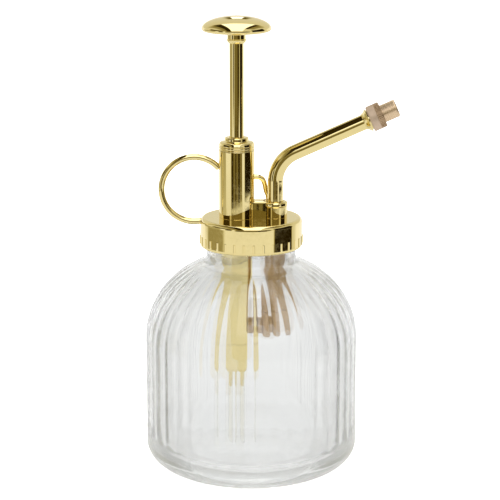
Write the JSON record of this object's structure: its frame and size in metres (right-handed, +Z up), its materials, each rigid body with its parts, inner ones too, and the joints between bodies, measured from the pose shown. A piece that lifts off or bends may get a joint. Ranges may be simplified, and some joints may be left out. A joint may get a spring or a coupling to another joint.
{
  "type": "hand mister",
  "caption": "Thumb-pumped plant mister: fluted glass bottle, screw-on brass pump head with finger ring, plunger knob and long angled spout with a knurled spray nozzle.",
  "frame": {"origin": "centre of the bottle's flat base, on the bottle's axis", "axes": "+Z up along the bottle's axis, +X towards the spout, finger ring at -X"},
  "size_m": [0.0867, 0.073, 0.1573],
  "materials": {
    "clear_glass": "clear pressed glass, fluted, faint grey-green in the thick base",
    "polished_gold": "mirror-polished pale gold plating",
    "raw_brass": "unplated brown brass, satin",
    "rose_brass": "machined pinkish brass, fine lathe marks",
    "spring_steel": "drawn stainless wire and polished balls",
    "black_rubber": "matte moulded rubber",
    "clear_plastic": "translucent extruded plastic"
  },
  "bodies": {
    "bottle": {"glass_bottle": "clear_glass"},
    "neck_seal": {"neck_gasket": "black_rubber"},
    "head": {"screw_collar": "polished_gold", "finger_ring": "polished_gold", "bridge_block": "polished_gold", "brace_wire": "polished_gold", "cross_tube": "raw_brass", "pump_barrel": "polished_gold", "gland_cap": "polished_gold", "rod_seal": "black_rubber", "seal_washer": "raw_brass", "pump_cylinder": "polished_gold", "inlet_housing": "polished_gold", "ball_stop": "raw_brass", "dip_tube": "clear_plastic", "return_spring": "spring_steel", "outlet_valve": "raw_brass", "riser_tube": "raw_brass", "spout_socket": "polished_gold", "spout_tube": "polished_gold", "nozzle_seat": "polished_gold"},
    "plunger": {"thumb_knob": "polished_gold", "knob_ferrule": "polished_gold", "plunger_rod": "polished_gold", "piston_head": "raw_brass", "piston_cup": "black_rubber", "piston_washer": "raw_brass", "piston_nut": "raw_brass"},
    "inlet_check": {"inlet_ball": "spring_steel"},
    "outlet_check": {"outlet_ball": "spring_steel"},
    "nozzle_washer": {"nozzle_seal": "black_rubber"},
    "nozzle": {"nozzle_nut": "rose_brass", "nozzle_tip": "rose_brass", "swirl_core": "raw_brass"}
  },
  "joints": [
    {"name": "head_lift", "type": "slide", "parent": "bottle", "child": "neck_seal", "axis": [0, 0, 1], "range_m": [0, 0.0045]},
    {"name": "head_unscrew", "type": "hinge", "parent": "neck_seal", "child": "head", "pos_m": [0, 0, 0.0827], "axis": [0, 0, 1], "range_deg": [0, 540.01]},
    {"name": "plunger_press", "type": "slide", "parent": "head", "child": "plunger", "axis": [0, 0, -1], "range_m": [0, 0.028], "stiffness_N_per_m": 300, "springref_m": -0.015, "deforming": ["return_spring"]},
    {"name": "inlet_ball_lift", "type": "slide", "parent": "head", "child": "inlet_check", "axis": [0, 0, 1], "range_m": [0, 0.0012]},
    {"name": "outlet_ball_lift", "type": "slide", "parent": "head", "child": "outlet_check", "axis": [0, 0, 1], "range_m": [0, 0.0012]},
    {"name": "nozzle_feed", "type": "slide", "parent": "head", "child": "nozzle_washer", "axis": [0.9135, 0, 0.4067], "range_m": [0, 0.00075]},
    {"name": "nozzle_turn", "type": "hinge", "parent": "nozzle_washer", "child": "nozzle", "pos_m": [0.04173, 0, 0.12308], "axis": [0.9135, 0, 0.4067], "range_deg": [0, 360.01]}
  ],
  "couplings": [
    {"joint": "head_unscrew", "follows": "head_lift", "rad_per_m": 2094.4},
    {"joint": "nozzle_turn", "follows": "nozzle_feed", "rad_per_m": 8377.6}
  ]
}
